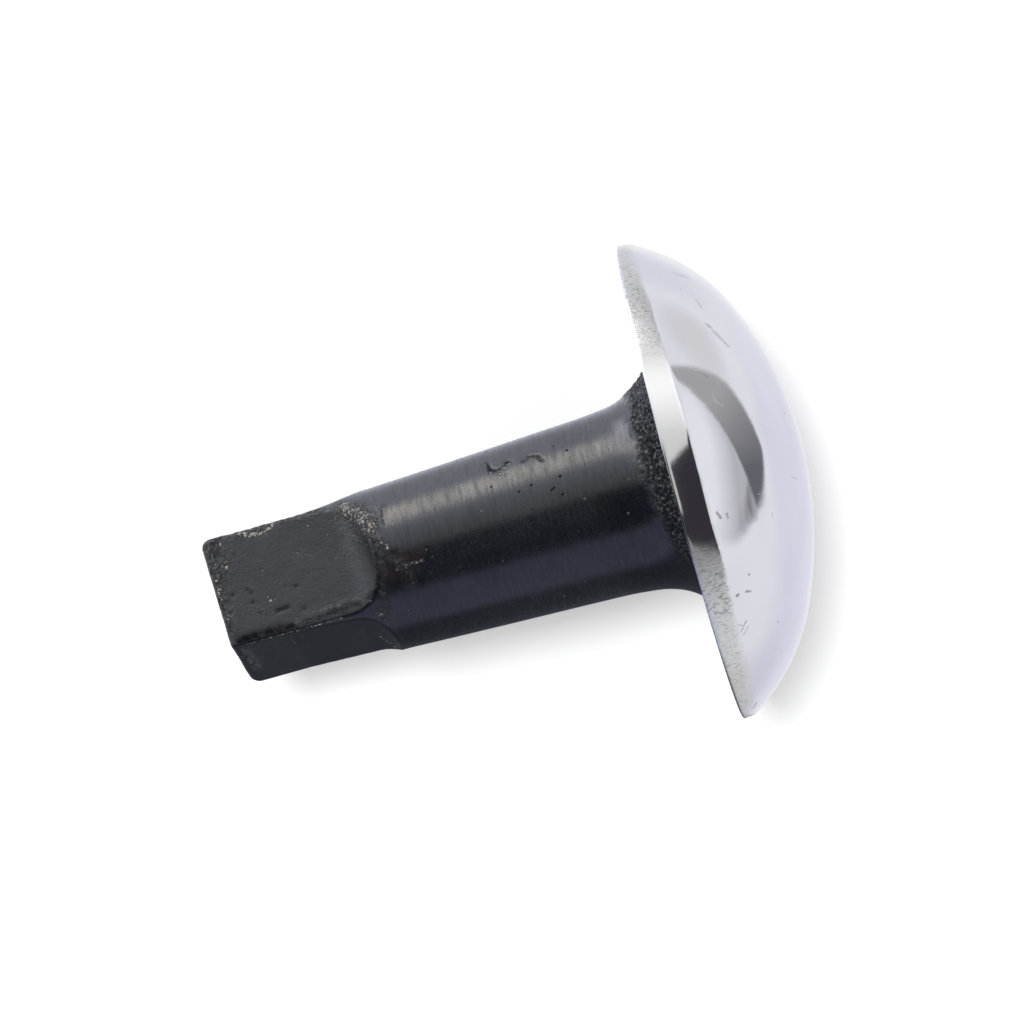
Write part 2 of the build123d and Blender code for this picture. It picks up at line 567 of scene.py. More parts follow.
@dataclass(frozen=True)
class BlackEnamel:
    """Baked black enamel over turned steel: semi-gloss, faint turning marks telegraphing through.

    Where the mesh's "wear" runs high the paint has flaked to a crumbly edge of filler and steel,
    where its "rough" runs high it covers coarse metal and turns grainy and dull, with painted shade
    (lower gloss) in the grain's hollows, where its "stain" runs high a rusty smear shows, where its
    "sunk" runs high cracks, grooves and dents get painted shade: near-black colour and little
    gloss, and where its "milled" runs high there are no turning marks.
    """

    paint: str = "14151A"
    faded: str = "202229"
    flake: str = "98968D"
    smear: str = "2B2522"
    # near-black painted shade in cracks, grooves, dents and pits
    hollow_shade_colour: str = "060607"
    dust: str = "77777A"
    gloss_roughness: float = 0.21
    grainy_roughness: float = 0.36
    hollow_shade_sheen: float = 0.05  # gloss left inside cracks, grooves, dents and pits, cut low as painted shade
    turning_mm: float = 0.42  # pitch of the turning marks under the paint
    grain_mm: float = 0.48  # lumps in the coarse patches
    crumb_mm: float = 0.40  # crumbs along a chipped edge
    speckle_mm: float = 0.30  # orange peel and settled dust, coarser than real to show
    cloud_mm: float = 7.0  # size of the patches where the paint lies thicker and thinner
    dust_spacing_mm: float = 2.2  # about how far apart dust specks could lie
    dust_share: float = 0.45  # share of those places that has one
    peel_depth_mm: float = 0.017  # of orange peel and turning marks
    cloud_depth_mm: float = 0.05
    grain_depth_mm: float = 0.30
    chip_depth_mm: float = 0.10  # step down from the paint to what it flaked off
    pit_depth_mm: float = 0.12
    milled_grain: float = 0.24  # how grainy a milled face is, where a coarse patch is 1
    bare_peaks: float = 0.50  # how far the peaks of a coarse patch are rubbed bare

    def material(self, name: str, pits: Sequence[tuple[Vector, float]] = ()) -> bpy.types.Material:
        """Build the paint.

        Args:
            name: The material's name.
            pits: Middle and radius of each single pit in the paint, in metres.

        Returns:
            The material.
        """
        material, tree = new_material(name)
        place = add_node(tree, "TexCoord").outputs["Object"]
        wear, rough, stain, painted_hollow_shade, milled = (
            add_node(tree, "Attribute", attribute_name=layer).outputs["Fac"]
            for layer in ("wear", "rough", "stain", "painted_hollow_shade", "milled")
        )
        specks = sparse_dots(
            tree, place, self.dust_spacing_mm, self.dust_share, (0.05, 0.09), most=0.6
        )
        pitted = self._pitted(tree, place, pits)
        # Painted shade: pits join the cracks, grooves and dents that are darkened as hollows.
        painted_hollow_shade = add_node(tree, "Math", {0: painted_hollow_shade, 1: pitted}, operation="MAXIMUM").outputs[0]
        rings = add_node(
            tree, "Mapping", {"Vector": place, "Scale": (0.12, 0.12, 1)}
        ).outputs["Vector"]
        crumbs, grain, cloud, turning, peel = (
            add_node(
                tree, "TexNoise",
                {"Vector": vector, "Scale": 1 / (size * MM), "Detail": detail, "Roughness": fine},
            ).outputs["Fac"]
            for vector, size, detail, fine in (
                (place, self.crumb_mm, 3.0, 0.6), (place, self.grain_mm, 4.0, 0.7),
                (place, self.cloud_mm, 3.0, 0.5), (rings, self.turning_mm, 2.0, 0.6),
                (place, self.speckle_mm, 2.0, 0.6),
            )
        )
        turning = add_node(
            tree, "Mix", {0: milled, 2: turning, 3: 0.5}, data_type="FLOAT"
        ).outputs[0]

        eaten = add_node(tree, "Math", {0: wear, 1: crumbs}, operation="ADD").outputs[0]
        dusty = add_node(tree, "Math", {0: cloud, 1: peel}, operation="ADD").outputs[0]
        flaked, rim, dusty, peaks = (
            add_node(
                tree, "MapRange", {"Value": value, "From Min": low, "From Max": high}
            ).outputs["Result"]
            for value, low, high in (
                (eaten, 0.98, 1.10), (eaten, 0.86, 1.02), (dusty, 0.92, 1.50), (grain, 0.55, 0.68)
            )
        )
        for share in (rough, self.bare_peaks):
            peaks = add_node(tree, "Math", {0: peaks, 1: share}, operation="MULTIPLY").outputs[0]
        bare = add_node(tree, "Math", {0: peaks, 1: flaked}, operation="MAXIMUM").outputs[0]
        colour: tuple | Socket = linear(self.paint)
        for share, tint in (
            (dusty, self.faded), (stain, self.smear), (bare, self.flake),
            (specks, self.dust), (painted_hollow_shade, self.hollow_shade_colour),
        ):
            colour = add_node(
                tree, "Mix", {0: share, 6: colour, 7: linear(tint)}, data_type="RGBA"
            ).outputs[2]

        uneven = add_node(
            tree, "Math", {0: peel, 1: 0.6, 2: turning}, operation="MULTIPLY_ADD"
        ).outputs[0]
        # The coarse grain's gloss is cut in its hollows as painted shade.
        glossy, smooth, sheen_with_painted_grain_shade = (
            add_node(
                tree, "MapRange",
                {"Value": value, "From Min": low, "From Max": high,
                 "To Min": least, "To Max": most},
            ).outputs["Result"]
            for value, low, high, least, most in (
                (uneven, 0.55, 1.05, self.gloss_roughness * 0.65, self.gloss_roughness * 1.45),
                (uneven, 0.55, 1.05, 0.60, 0.40), (grain, 0.42, 0.60, 0.03, 0.42),
            )
        )
        dulled = add_node(tree, "Math", {0: rough, 1: flaked}, operation="MAXIMUM").outputs[0]
        roughness = add_node(
            tree, "Mix", {0: dulled, 2: glossy, 3: self.grainy_roughness}, data_type="FLOAT"
        ).outputs[0]
        sheen = add_node(
            tree, "Mix", {0: rough, 2: smooth, 3: sheen_with_painted_grain_shade}, data_type="FLOAT"
        ).outputs[0]
        # Gloss cut low in cracks, grooves, dents and pits: painted shade.
        sheen = add_node(
            tree, "Mix", {0: painted_hollow_shade, 2: sheen, 3: self.hollow_shade_sheen}, data_type="FLOAT"
        ).outputs[0]

        lumpy = add_node(
            tree, "Math", {0: milled, 1: self.milled_grain, 2: rough}, operation="MULTIPLY_ADD"
        ).outputs[0]
        coarse = add_node(tree, "Math", {0: grain, 1: lumpy}, operation="MULTIPLY").outputs[0]
        relief: float | Socket = 0.0
        for part, millimetres in (
            (uneven, self.peel_depth_mm), (cloud, self.cloud_depth_mm),
            (coarse, self.grain_depth_mm), (rim, -self.chip_depth_mm),
            (pitted, -self.pit_depth_mm),
        ):
            relief = add_node(
                tree, "Math", {0: part, 1: millimetres, 2: relief}, operation="MULTIPLY_ADD"
            ).outputs[0]
        bump = add_node(
            tree, "Bump", {"Height": relief, "Distance": 1.0 * MM, "Strength": 1.0}
        ).outputs["Normal"]

        shader = add_node(
            tree, "BsdfPrincipled",
            {"Base Color": colour, "Roughness": roughness, "Normal": bump,
             "Specular IOR Level": sheen, "IOR": 1.5},
        )
        add_node(tree, "OutputMaterial", {"Surface": shader.outputs["BSDF"]})
        return material

    def _pitted(
        self, tree: Tree, place: Socket, pits: Sequence[tuple[Vector, float]]
    ) -> Socket | float:
        """How deep each point lies in one of the single pits, which sets both its dip and its
        painted shade.

        Args:
            tree: The material's node tree.
            place: Socket with the point's place, in metres.
            pits: Middle and radius of each pit, in metres.

        Returns:
            Socket with the depth, 0 to 0.9, or 0 where there are no pits.
        """
        deepest: Socket | float = 0.0
        for middle, radius in pits:
            gap = add_node(
                tree, "VectorMath", {0: place, 1: middle}, operation="DISTANCE"
            ).outputs["Value"]
            depth = add_node(
                tree, "MapRange",
                {"Value": gap, "From Min": radius, "From Max": radius * 0.45, "To Max": 0.9},
            ).outputs["Result"]
            deepest = add_node(tree, "Math", {0: deepest, 1: depth}, operation="MAXIMUM").outputs[0]
        return deepest


# ------------------------------------------------------------------------------ dome head
class HeadZone(IntEnum):
    """Which part of the turned head a row of its half section belongs to."""

    UNDERSIDE = 0
    BAND = 1
    DOME = 2


@dataclass
class DomeHead:
    """The turned head: crown and flank arcs, hand-ground band, flat underside, blind socket.

    The band is wider on one side, because the dome was ground a little off the stem's axis.
    Sizes are in millimetres; the outer ones are read from the CAD node's box. Directions are
    degrees round the axis from +X.
    """

    radius: float
    underside: float
    crown: float
    rim_height: float = 1.8
    crown_radius: float = 56.0
    crown_width: float = 48.0
    edge_radius: float = 0.15
    socket_radius: float = 8.03
    socket_depth: float = 9.5
    wide_side: float = -72.0  # direction in which the band is widest
    extra_band: float = 2.5  # how much wider it is there
    thrown_side: float = -162.0  # direction in which head and crown sit off centre
    head_throw: float = 0.6  # how far the head was welded off the stem's axis
    crown_throw: float = 1.4  # how far the crown was ground off the head's own middle
    head_lean: float = 0.65  # degrees by which the head's far side stands up from square
    band_roll: float = 14.0  # degrees by which the band rolls in towards the crease
    smooth_side: float = -80.0  # direction in which the band was polished over
    smooth_reach: float = 25.0  # degrees to either side over which it was
    dug_side: float = -117.0  # direction in which the wheel dug in and left the most grit, so the most painted pit shade
    dug_reach: float = 10.0  # degrees to either side over which it did
    underside_grain: float = 0.35  # how grainy the paint under the head is, 0 to 1
    buffing: tuple[Layer, ...] = ((0.010, 13.0, 0.0), (0.003, 5.0, 7.0))  # waves in the dome
    grinding: tuple[Layer, ...] = ((0.035, (7.0, 7.0, 9.0), 2.0),)  # and in the band
    ground_off: float = 0.03  # how much grinding took off the band
    band_waves: tuple[Layer, ...] = ((0.12, 9.0, 3.1),)  # unevenness of the band's height
    ragged_edge: tuple[Layer, ...] = ((0.25, 1.3, 5.0), (0.2, 0.6, 9.0))  # and of its crease
    segments: int = 480
    step: float = 0.34  # size of the dome's faces, from the rim to the crown
    scratches: tuple[Scratch, ...] = (  # ones darkened with painted shade
        Scratch((-114.8, 30.3), (-114.2, 30.1), 0.80, 0.38),
        Scratch((-112.8, 29.6), (-111.4, 29.0), 0.85, 0.36),
        Scratch((-110.8, 28.7), (-109.2, 27.8), 0.75, 0.36),
        Scratch((-136.9, 32.5), (-138.6, 31.1), 0.85, 0.22),
        Scratch((-125.6, 30.8), (-122.4, 30.4), 0.24, 0.4),
        Scratch((-96.6, 33.2), (-95.8, 32.9), 0.24, 0.6),
        Scratch((-63.2, 35.7), (-61.5, 35.5), 0.22, 0.7),
        Scratch((-62.0, 34.9), (-60.8, 34.8), 0.20, 0.6),
        Scratch((-55.2, 28.6), (-53.6, 28.7), 0.20, 0.4),
        Scratch((-56.7, 17.7), (-51.0, 14.8), 0.24, 0.3),
        Scratch((-32.1, 36.1), (-33.9, 35.4), 0.20, 0.5),
        Scratch((-30.9, 35.9), (-31.9, 35.4), 0.18, 0.5),
        Scratch((-34.6, 36.2), (-33.0, 35.7), 0.16, 0.5),
        Scratch((-41.4, 34.8), (-40.6, 34.4), 0.30, 0.7),
        Scratch((-42.2, 35.7), (-41.9, 35.7), 0.34, 0.8),
        Scratch((-45.0, 34.1), (-44.8, 34.1), 0.26, 0.8),
        Scratch((-46.7, 36.4), (-46.4, 36.6), 0.16, 0.5),
        Scratch((2.4, 36.5), (0.2, 36.2), 0.22, 0.8),
    )
    scuffs: tuple[Scratch, ...] = (  # ones that catch the light where the mirror is dark
        Scratch((-91.4, 32.7), (-89.3, 32.8), 0.20, 0.5),
        Scratch((-89.3, 32.8), (-87.7, 32.0), 0.20, 0.6),
        Scratch((-87.7, 32.0), (-89.0, 31.5), 0.18, 0.5),
        Scratch((-98.0, 34.0), (-98.1, 33.6), 0.20, 0.4),
    )

    def profile(self) -> tuple[np.ndarray, np.ndarray]:
        """Half section from the socket's ceiling out under the head and up to the crown.

        Returns:
            (radius, height) rows, and the HeadZone of each.
        """
        floor, outer, soft = self.underside, self.radius, self.edge_radius
        crease = floor + self.rim_height
        under = arc_length(
            [(0.6, floor + self.socket_depth), (self.socket_radius, floor + self.socket_depth),
             (self.socket_radius, floor + 0.6), (self.socket_radius + 0.6, floor),
             (outer - soft, floor)], 1.1,
        )
        edge = np.asarray(bend((outer - soft, floor + soft), soft, -90, 0))[1:]
        band = arc_length([(outer, floor + soft), (outer, crease)], 0.2)[1:]
        dome = self.dome_arcs(crease)[1:]
        rows = np.concatenate([under, edge, band, dome])
        zone = np.repeat(list(HeadZone), [len(under), len(edge) + len(band), len(dome)])
        return rows, zone

    def dome_arcs(self, crease: float) -> np.ndarray:
        """The flank's arc from the crease, then the crown's arc to near the middle.

        Args:
            crease: Height of the crease between band and dome.

        Returns:
            (radius, height) rows.
        """
        blend = self.crown_width / 2
        slope = math.asin(blend / self.crown_radius)
        blend_point = np.array([blend, self.crown - self.crown_radius * (1 - math.cos(slope))])
        away = np.array([math.sin(slope), math.cos(slope)])
        chord = np.array([self.radius, crease]) - blend_point
        flank_radius = -(chord @ chord) / (2 * (chord @ away))
        centre = blend_point - flank_radius * away
        low = math.degrees(math.atan2(crease - centre[1], self.radius - centre[0]))
        high = 90 - math.degrees(slope)
        flank = bend(tuple(centre), flank_radius, low, high, 60)
        crown = bend((0, self.crown - self.crown_radius), self.crown_radius, high, 89.4, 60)
        return arc_length(flank + crown[1:], self.step)

    def band_growth(self, angle: np.ndarray) -> np.ndarray:
        """How much taller the band is than its least height, round the head.

        Args:
            angle: Directions of the segments, in radians, in one row.

        Returns:
            The extra height, in the shape of angle.
        """
        facing = np.clip(np.cos(np.radians(angle_gap(angle, self.wide_side))), 0, None)
        around_rim = around(np.full_like(angle, self.radius), self.underside, angle)
        return self.extra_band * facing**1.8 + layered(around_rim, self.band_waves)

    def build(self) -> bpy.types.Object:
        """Make the head.

        Returns:
            The finished piece.
        """
        rows, zone = self.profile()
        angle = np.linspace(0, FULL_TURN, self.segments, endpoint=False)[None, :]
        radius = np.repeat(rows[:, :1], self.segments, 1)
        height = np.repeat(rows[:, 1:], self.segments, 1)
        on_dome, on_band = zone[:, None] == HeadZone.DOME, zone[:, None] == HeadZone.BAND
        grown = self.band_growth(angle)
        base = self.underside + self.edge_radius
        crease = self.underside + self.rim_height
        up_band = np.clip((height - base) / (crease - base), 0, 1)
        near_rim = smooth_step(radius, 0.6 * self.radius, self.radius)
        inwards = np.where(on_dome, near_rim, up_band * (1 + up_band) / 2 * on_band)
        radius = radius - self._rolled_in(grown) * inwards
        upwards = np.where(
            on_dome, smooth_step(radius, 0.35 * self.radius, self.radius), up_band * on_band
        )
        height = height + grown * upwards
        rings = around(radius, height, angle)
        rings = rings + self._throw(radius, on_dome)
        rings[..., 2] += self._lean(rings)
        wobble = layered(rings, self.buffing)
        hand_ground = layered(rings, self.grinding) - self.ground_off
        relief = np.where(on_dome, wobble, np.where(on_band, hand_ground, 0.0))
        rings = rings + outward(rings) * relief[..., None]
        outside = on_dome | on_band
        values = self._grinding(rings, angle, height - (crease + grown), outside)
        piece = skin_rings("dome_head_ground_and_buffed", rings, Ends.POLES, values)
        self._dress(piece, zone)
        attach(piece, "root")
        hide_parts("dome_head")
        return piece

    def _grinding(
        self, rings: np.ndarray, angle: np.ndarray, above: np.ndarray, outside: np.ndarray
    ) -> dict[str, np.ndarray]:
        """Where the head is ground instead of buffed, and how gritty the grinding was left.

        Args:
            rings: The head's points, in millimetres.
            angle: Directions of its segments, in radians, in one row.
            above: Each point's height above the crease between band and dome.
            outside: Which rows are steel; the others are painted.

        Returns:
            The mesh's "band" and "grit" values for the steel, and "rough" for the paint.
        """
        ragged = layered(rings, self.ragged_edge)
        away = np.abs(angle_gap(angle, self.smooth_side))
        left_rough = smooth_step(away, self.smooth_reach - 5, self.smooth_reach + 5)
        left_rough = left_rough * (1 - 0.5 * smooth_step(away, 42, 70))
        blurred = 0.25 + 0.9 * smooth_step(away, 34, 62)
        dug_in = 1 + 0.6 * np.exp(-((angle_gap(angle, self.dug_side) / self.dug_reach) ** 2))
        band = smooth_step(above + ragged, blurred, -blurred) * outside
        grit = band * left_rough * dug_in
        return {"band": band, "grit": grit, "rough": np.full_like(band, self.underside_grain)}

    def _rolled_in(self, grown: np.ndarray) -> np.ndarray:
        """How far inside the head's edge the crease lies, by how much taller the band is."""
        height = self.rim_height - self.edge_radius + grown
        return height * math.tan(math.radians(self.band_roll)) / 2

    def _throw(self, radius: np.ndarray, on_dome: np.ndarray) -> np.ndarray:
        """Sideways shift of each point: the whole head's, and the crown's own.

        Args:
            radius: Each point's distance from the axis, in millimetres.
            on_dome: Whether it lies on the dome.

        Returns:
            The shifts, in millimetres, with x, y and z last.
        """
        shift = self.head_throw + self.crown_throw * (1 - (radius / self.radius) ** 2) * on_dome
        return shift[..., None] * compass(self.thrown_side)

    def _lean(self, points: np.ndarray) -> np.ndarray:
        """Lift of each point, because the head doesn't stand quite square.

        Args:
            points: The points, in millimetres, with x, y and z last.

        Returns:
            Their lifts, in millimetres.
        """
        return reach_towards(points, self.thrown_side) * math.tan(math.radians(self.head_lean))

    def _dress(self, piece: bpy.types.Object, zone: np.ndarray) -> None:
        """Give the head its steel, and the painted underside its enamel.

        Args:
            piece: The head.
            zone: The HeadZone of each of its rows.
        """
        scratches, scuffs = [
            [
                (self._from_above(s.start), self._from_above(s.end), s.width * MM, s.depth)
                for s in group
            ]
            for group in (self.scratches, self.scuffs)
        ]
        piece.data.materials.append(PolishedSteel().material(scratches, scuffs))
        piece.data.materials.append(BlackEnamel().material("enamel_on_underside"))
        rows = len(zone)
        painted = np.zeros(len(piece.data.polygons), np.int32)
        # The paint stops just inside the rounded lower edge.
        edge_row = int(np.argmax(zone > HeadZone.UNDERSIDE)) - 2
        painted[: edge_row * self.segments] = 1
        ceiling = (rows - 1) * self.segments
        painted[ceiling : ceiling + self.segments] = 1
        piece.data.polygons.foreach_set("material_index", painted)

    def _from_above(self, spot: tuple[float, float]) -> Vector:
        """Place on the dome as seen from above.

        Args:
            spot: Direction in degrees and distance from the crown's middle in millimetres.

        Returns:
            The place, in metres and at height 0.
        """
        direction, radius = spot
        place = radius * compass(direction)
        return Vector(place + self._throw(np.array(radius), np.array(True))) * MM


# ------------------------------------------------------------------------------ stem
@dataclass(frozen=True)
class Flat:
    """One milled flat of the tang.

    Attributes:
        side: Direction it faces, in degrees from +X.
        distance: Distance from the axis, in millimetres.
        length: Height at which it starts to run out.
        end: Height at which it has run out.
        creep: How much further out it is by its length than at half of it.
        skew: How much later its far half runs out.
    """

    side: float
    distance: float = 9.25
    length: float = 12.0
    end: float = 25.0
    creep: float = 0.0
    skew: float = 0.0

    def reach(self, round_radius: float, angle: np.ndarray, height: np.ndarray) -> np.ndarray:
        """Distance from the axis: straight, then out to the round along the cutter's arc.

        Args:
            round_radius: Radius of the round that the flat is cut from.
            angle: Directions, in radians.
            height: Heights up the axis.

        Returns:
            The flat's distance at each direction and height.
        """
        near = self.distance + self.creep * np.clip(2 * height / self.length - 1, 0, 1)
        sideways = self.distance * np.tan(np.radians(np.clip(angle_gap(angle, self.side), -60, 60)))
        run_out = self.end + self.skew * smooth_step(sideways, -4, 4) - self.length
        depth = round_radius - self.distance - self.creep
        arc = (run_out**2 + depth**2) / (2 * depth)
        above = np.clip(height - self.length, 0, arc)
        return near + arc - np.sqrt(arc**2 - above**2)


@dataclass
class Stem:
    """Turned stem with a milled square tang, painted, dented and chipped.

    Sizes are in millimetres; the length is read from the CAD node's box. Directions are degrees
    round the axis from +X.
    """

    shoulder: float
    spigot_top: float
    weld_toe: float
    bow_side: float
    foot_radius: float = 12.45
    root_radius: float = 14.0
    taper_start: float = 26.0
    toe_step: float = 0.2  # the bead's edge, which the paint fills out over toe_fade
    toe_fade: float = 4.5
    flats: tuple[Flat, ...] = (  # the first isn't square, the last was milled on
        Flat(-2.9, 8.82, length=20.3, end=24.9, creep=0.6), Flat(90.0),
        Flat(180.0, length=13.4, end=26.6), Flat(-90.0, length=20.0, end=25.2, skew=0.6),
    )
    end_radius: float = 1.2
    end_slant: float = 0.075  # the sawn end falls back this much per millimetre
    slant_side: float = 147.0  # away from this direction
    slant_from: float = 2.6  # and this far from the axis on that side
    spigot_radius: float = 8.0
    proud_corner: float = -135.0  # direction of the corner that was left proud
    corner_gain: float = 0.28  # how far
    bow: float = 0.18  # the root stands this far over, towards bow_side
    edge_sharpness: float = 20.0  # of the edge between flat and round, per millimetre
    turned_waves: tuple[Layer, ...] = ((0.012, (9.0, 9.0, 16.0), 1.0),)
    milled_waves: tuple[Layer, ...] = ((0.035, 4.5, 2.0), (0.018, 1.4, 8.0))
    crumbs: tuple[Layer, ...] = ((0.10, 0.8, 6.0), (0.09, 0.45, 7.0))  # of the coarse patches
    dent_depth: float = 0.12
    groove_depth: float = 0.12
    chip_depth: float = 0.05
    segments: int = 320
    step: float = 0.29  # height of the faces
    chips: tuple[Mark, ...] = (
        # the cracked place half way up
        *spots(0.42, 0.72, (-127.5, 44.7), (-119.0, 45.4), (-115.0, 46.8), (-112.4, 47.7)),
        *spots(0.42, 0.72, (-121.5, 48.4)),
        *spots(0.30, 0.66, (-118.0, 46.2), (-118.0, 47.7), (-122.7, 51.4), (-121.8, 52.0)),
        *spots(0.28, 0.60, (-135.0, 45.9), (-130.5, 46.3)),
        Mark(((-118.5, 47.0), (-120.5, 48.0)), 0.26, 0.62),
        Mark(((-119.5, 50.0), (-122.6, 51.2), (-121.4, 52.4), (-114.8, 53.1)), 0.20, 0.46),
        # the tang's proud corner
        Mark(
            ((-135.0, 5.6), (-131.0, 7.6), (-130.5, 10.0), (-132.5, 11.2), (-137.0, 12.0)),
            0.65, 0.55,
        ),
        Mark(((-137.0, 2.0), (-137.0, 12.5)), 0.75, 0.50),
        Mark(((-137.0, 14.0), (-136.5, 18.8)), 0.40, 0.50),
        # the edge of its end
        Mark(((-129.0, 2.8), (-129.0, 1.6), (-124.5, 1.1), (-119.0, 1.4)), 0.55, 0.46),
        Mark(((-114.0, 0.7), (-100.0, 0.6), (-84.0, 0.8), (-68.0, 0.8)), 0.42, 0.48),
        *spots(0.40, 0.63, (-105.0, 0.8), (-96.0, 1.0), (-70.0, 1.3)),
        # specks on the flat that faces -Y
        *spots(0.42, 0.74, (-114.0, 2.9), (-73.2, 8.3)),
        *spots(0.32, 0.66, (-130.6, 3.0), (-109.3, 14.2)),
        *spots(0.30, 0.63, (-121.5, 4.6), (-102.5, 8.2), (-81.5, 11.2), (-77.0, 8.1), (-74.6, 9.2)),
        *spots(0.30, 0.63, (-106.0, 15.7), (-97.4, 25.6)),
        # the ridge between it and the next flat: pale specks, partly chipped paint and partly a
        # painted highlight on its burr
        Mark(((-47.2, 2.5), (-47.2, 18.5)), 0.30, 0.50),
        *spots(0.28, 0.62, (-46.8, 3.4), (-47.0, 8.8), (-46.8, 11.5), (-47.0, 14.1), (-47.0, 18.4)),
        *spots(0.30, 0.63, (-54.0, 23.1)),
        *spots(0.24, 0.58, (-51.3, 21.5), (-51.0, 17.9)),
        *spots(0.55, 0.52, (-41.7, 23.9)),
        Mark(((4.0, 22.0), (13.0, 22.5), (24.0, 23.6)), 0.42, 0.48),
        # the shoulder where the flats run out: pale flecks and streaks, partly flaked paint and
        # partly a painted highlight on its lumps
        Mark(((-134.0, 22.5), (-119.0, 24.6), (-105.0, 25.8)), 2.6, 0.508),
        Mark(((-120.0, 27.2), (-108.0, 27.0)), 0.22, 0.50),
        Mark(((-118.0, 28.3), (-103.0, 28.1)), 0.22, 0.50),
        Mark(((-91.5, 27.1), (-88.4, 27.9), (-85.5, 27.8)), 0.55, 0.52),
        Mark(((-71.6, 29.8), (-71.6, 32.4)), 0.45, 0.46),
        *spots(0.40, 0.48, (-69.5, 28.4), (-62.4, 33.0)),
        # specks up the round
        *spots(0.30, 0.66, (-127.0, 60.0)),
        *spots(0.24, 0.58, (-39.5, 28.2), (-42.6, 24.0), (-77.6, 33.4)),
        *spots(0.26, 0.50, (-69.0, 41.8), (-69.8, 41.9), (-57.4, 47.8), (-58.4, 47.9)),
        *spots(0.26, 0.50, (-56.6, 43.9)),
        *spots(0.24, 0.50, (-60.0, 37.5), (-66.0, 35.2), (-72.0, 34.0), (-80.0, 38.6)),
        *spots(0.24, 0.50, (-62.0, 56.0)),
    )
    coarse: tuple[Mark, ...] = (
        # the shoulder
        Mark(((-136.0, 22.0), (-126.0, 24.0), (-117.0, 24.7), (-104.0, 25.3)), 1.9, 0.6),
        Mark(((-119.0, 27.8), (-103.0, 27.0)), 0.8, 0.5),
        Mark(((-93.0, 26.8), (-85.0, 27.9)), 0.8, 0.6),
        Mark(((-97.0, 26.2), (-72.0, 26.0), (-60.0, 25.2)), 0.7, 0.7),
        Mark(((-76.0, 29.0), (-63.0, 30.0)), 1.2, 0.6),
        *spots(1.3, 0.7, (-42.5, 24.6)),
        Mark(((60.0, 24.0), (72.0, 25.0)), 1.6, 0.8),
        Mark(((150.0, 25.5), (162.0, 25.0)), 1.4, 0.7),
        # the tang's corners
        Mark(((-136.0, 2.0), (-136.0, 19.0)), 0.8, 0.9),
        Mark(((-51.0, 12.0), (-54.0, 21.0)), 0.6, 0.5),
        # the edge of its end
        Mark(((-130.0, 1.4), (-112.0, 1.2)), 1.7, 0.8),
        Mark(((-128.0, 0.8), (-104.0, 0.8), (-60.0, 0.6)), 0.9, 0.9),
        Mark(((-36.0, 1.4), (10.0, 1.6)), 0.9, 0.8),
    )
    grooves: tuple[Mark, ...] = (
        # cracks half way up
        Mark(
            ((-129.5, 45.1), (-120.5, 45.6), (-119.0, 46.5), (-121.0, 47.5), (-123.5, 48.6)),
            0.28, 1.0,
        ),
        Mark(((-119.0, 50.6), (-121.8, 51.7), (-120.6, 52.9), (-114.4, 53.5)), 0.24, 0.8),
        # the shoulder
        Mark(
            ((-96.0, 26.0), (-82.5, 25.9), (-72.0, 25.5), (-60.0, 24.8), (-55.0, 22.6)), 0.30, 0.6
        ),
        Mark(((-81.6, 28.4), (-74.0, 30.4)), 0.7, 0.45),
        Mark(((-65.0, 28.4), (-59.6, 31.3)), 0.7, 0.45),
        # under the ridge, where a groove holds a line of painted shade
        Mark(((-50.6, 1.5), (-50.6, 9.0)), 0.55, 1.0),
        Mark(((-50.4, 2.0), (-50.4, 11.0)), 0.34, 0.9),
        Mark(((-50.6, 13.0), (-53.0, 21.5)), 0.34, 0.45),
    )
    dents: tuple[Mark, ...] = (
        *spots(0.30, 0.8, (-88.4, 5.1), (-84.9, 5.6), (-78.8, 12.7), (-87.2, 2.6), (-75.2, 5.5)),
        *spots(0.28, 0.7, (-65.2, 6.2), (-59.6, 13.2), (40.0, 36.0), (75.0, 52.0), (130.0, 44.0)),
        Mark(((-63.0, 9.0), (-63.5, 10.8)), 0.3, 0.8),
    )
    pits: tuple[tuple[float, float, float], ...] = (  # direction, height and radius of each; the enamel darkens them as painted shade
        (-98.7, 55.5, 0.30), (-98.8, 51.0, 0.24), (-116.3, 57.3, 0.26), (-106.6, 45.1, 0.20),
        (-97.0, 49.0, 0.23), (-86.6, 55.2, 0.25), (-83.1, 50.3, 0.18), (-142.8, 48.3, 0.22),
        (-91.4, 53.8, 0.23), (-92.3, 54.2, 0.23), (-94.0, 64.3, 0.26), (-124.0, 55.5, 0.17),
    )
    stains: tuple[Mark, ...] = (
        Mark(((-76.5, 29.3), (-75.0, 31.7)), 1.1, 0.4),
        Mark(((-70.3, 27.0), (-63.0, 29.8)), 1.0, 0.4),
        Mark(((100.0, 30.0), (112.0, 34.0)), 1.4, 0.6),
    )

    def round_radius(self, angle: np.ndarray, height: np.ndarray) -> np.ndarray:
        """Radius of the turned round, with its proud corner and the filled edge of the bead.

        Args:
            angle: Directions, in radians.
            height: Heights up the axis.

        Returns:
            The radius at each direction and height.
        """
        taper = np.interp(
            height, [self.taper_start, self.weld_toe], [self.foot_radius, self.root_radius]
        )
        filled = np.clip((height - self.weld_toe) / self.toe_fade + 1, 0, 1) ** 2
        on_tang = smooth_step(height, 22, 12) * (1 + 0.7 * smooth_step(height, 6, 2))
        proud = self.corner_gain * np.exp(-((angle_gap(angle, self.proud_corner) / 12) ** 2))
        return taper + self.toe_step * filled + proud * on_tang

